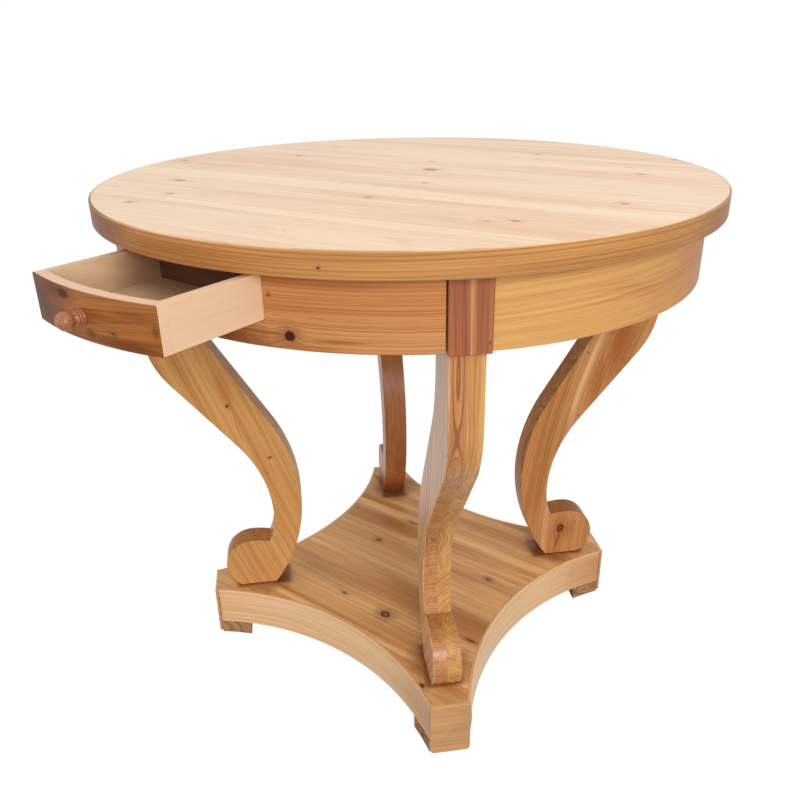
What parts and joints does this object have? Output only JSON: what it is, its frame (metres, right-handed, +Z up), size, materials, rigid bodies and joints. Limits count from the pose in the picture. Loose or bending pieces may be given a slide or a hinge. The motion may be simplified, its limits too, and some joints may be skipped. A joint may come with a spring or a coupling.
{
  "type": "round centre table",
  "caption": "Round wooden centre table: boarded top, curved apron with a sliding drawer and turned knob, scroll legs on a concave-sided plinth with low feet.",
  "frame": {"origin": "on the round top's axis, at the floor under the feet", "axes": "+Z up out of the tabletop, the drawer opens towards -Y, +X to the right of someone who faces the drawer"},
  "size_m": [0.8899, 1.0274, 0.78],
  "materials": {
    "top_wood": "waxed pale knotty softwood",
    "band_wood": "waxed veneer, grain along the edge",
    "apron_wood": "waxed golden softwood",
    "post_wood": "waxed red-brown softwood, upright grain",
    "leg_wood": "waxed golden-brown softwood, upright grain",
    "plinth_wood": "waxed knotty softwood",
    "plinth_facing_wood": "waxed veneer, level grain",
    "foot_wood": "waxed softwood",
    "drawer_box_wood": "bare pale softwood",
    "drawer_facing_wood": "waxed mottled veneer",
    "knob_wood": "turned and waxed",
    "inner_wood": "bare softwood",
    "screw_steel": "dull steel"
  },
  "bodies": {
    "table": {"top_board_1": "top_wood", "top_board_2": "top_wood", "top_board_3": "top_wood", "top_board_4": "top_wood", "top_board_5": "top_wood", "top_board_6": "top_wood", "top_edge_band": "band_wood", "apron_front": "apron_wood", "apron_right": "apron_wood", "apron_rear": "apron_wood", "apron_left": "apron_wood", "post_front_right": "post_wood", "post_rear_right": "post_wood", "post_rear_left": "post_wood", "post_front_left": "post_wood", "leg_front_right_ply_a": "leg_wood", "leg_front_right_ply_b": "leg_wood", "leg_rear_right_ply_a": "leg_wood", "leg_rear_right_ply_b": "leg_wood", "leg_rear_left_ply_a": "leg_wood", "leg_rear_left_ply_b": "leg_wood", "leg_front_left_ply_a": "leg_wood", "leg_front_left_ply_b": "leg_wood", "plinth_board_1": "plinth_wood", "plinth_board_2": "plinth_wood", "plinth_board_3": "plinth_wood", "plinth_board_4": "plinth_wood", "plinth_facing_front": "plinth_facing_wood", "plinth_facing_right": "plinth_facing_wood", "plinth_facing_rear": "plinth_facing_wood", "plinth_facing_left": "plinth_facing_wood", "plinth_corner_caps": "plinth_facing_wood", "foot_front_right": "foot_wood", "foot_rear_right": "foot_wood", "foot_rear_left": "foot_wood", "foot_front_left": "foot_wood", "top_bearer_a": "inner_wood", "top_bearer_b": "inner_wood", "plinth_bearer_a": "inner_wood", "plinth_bearer_b": "inner_wood", "drawer_runner_right": "inner_wood", "drawer_runner_left": "inner_wood", "drawer_stop_rail": "inner_wood", "bearer_screws": "screw_steel", "runner_screws": "screw_steel", "leg_screws": "screw_steel", "foot_screws": "screw_steel"},
    "drawer": {"drawer_facing": "drawer_facing_wood", "drawer_front": "drawer_box_wood", "drawer_side_right": "drawer_box_wood", "drawer_side_left": "drawer_box_wood", "drawer_back": "drawer_box_wood", "drawer_bottom": "drawer_box_wood", "drawer_knob": "knob_wood", "knob_screw": "screw_steel"}
  },
  "joints": [
    {"name": "drawer_slide", "type": "slide", "parent": "table", "child": "drawer", "axis": [0, -1, 0], "range_m": [-0.134, 0.02]}
  ]
}
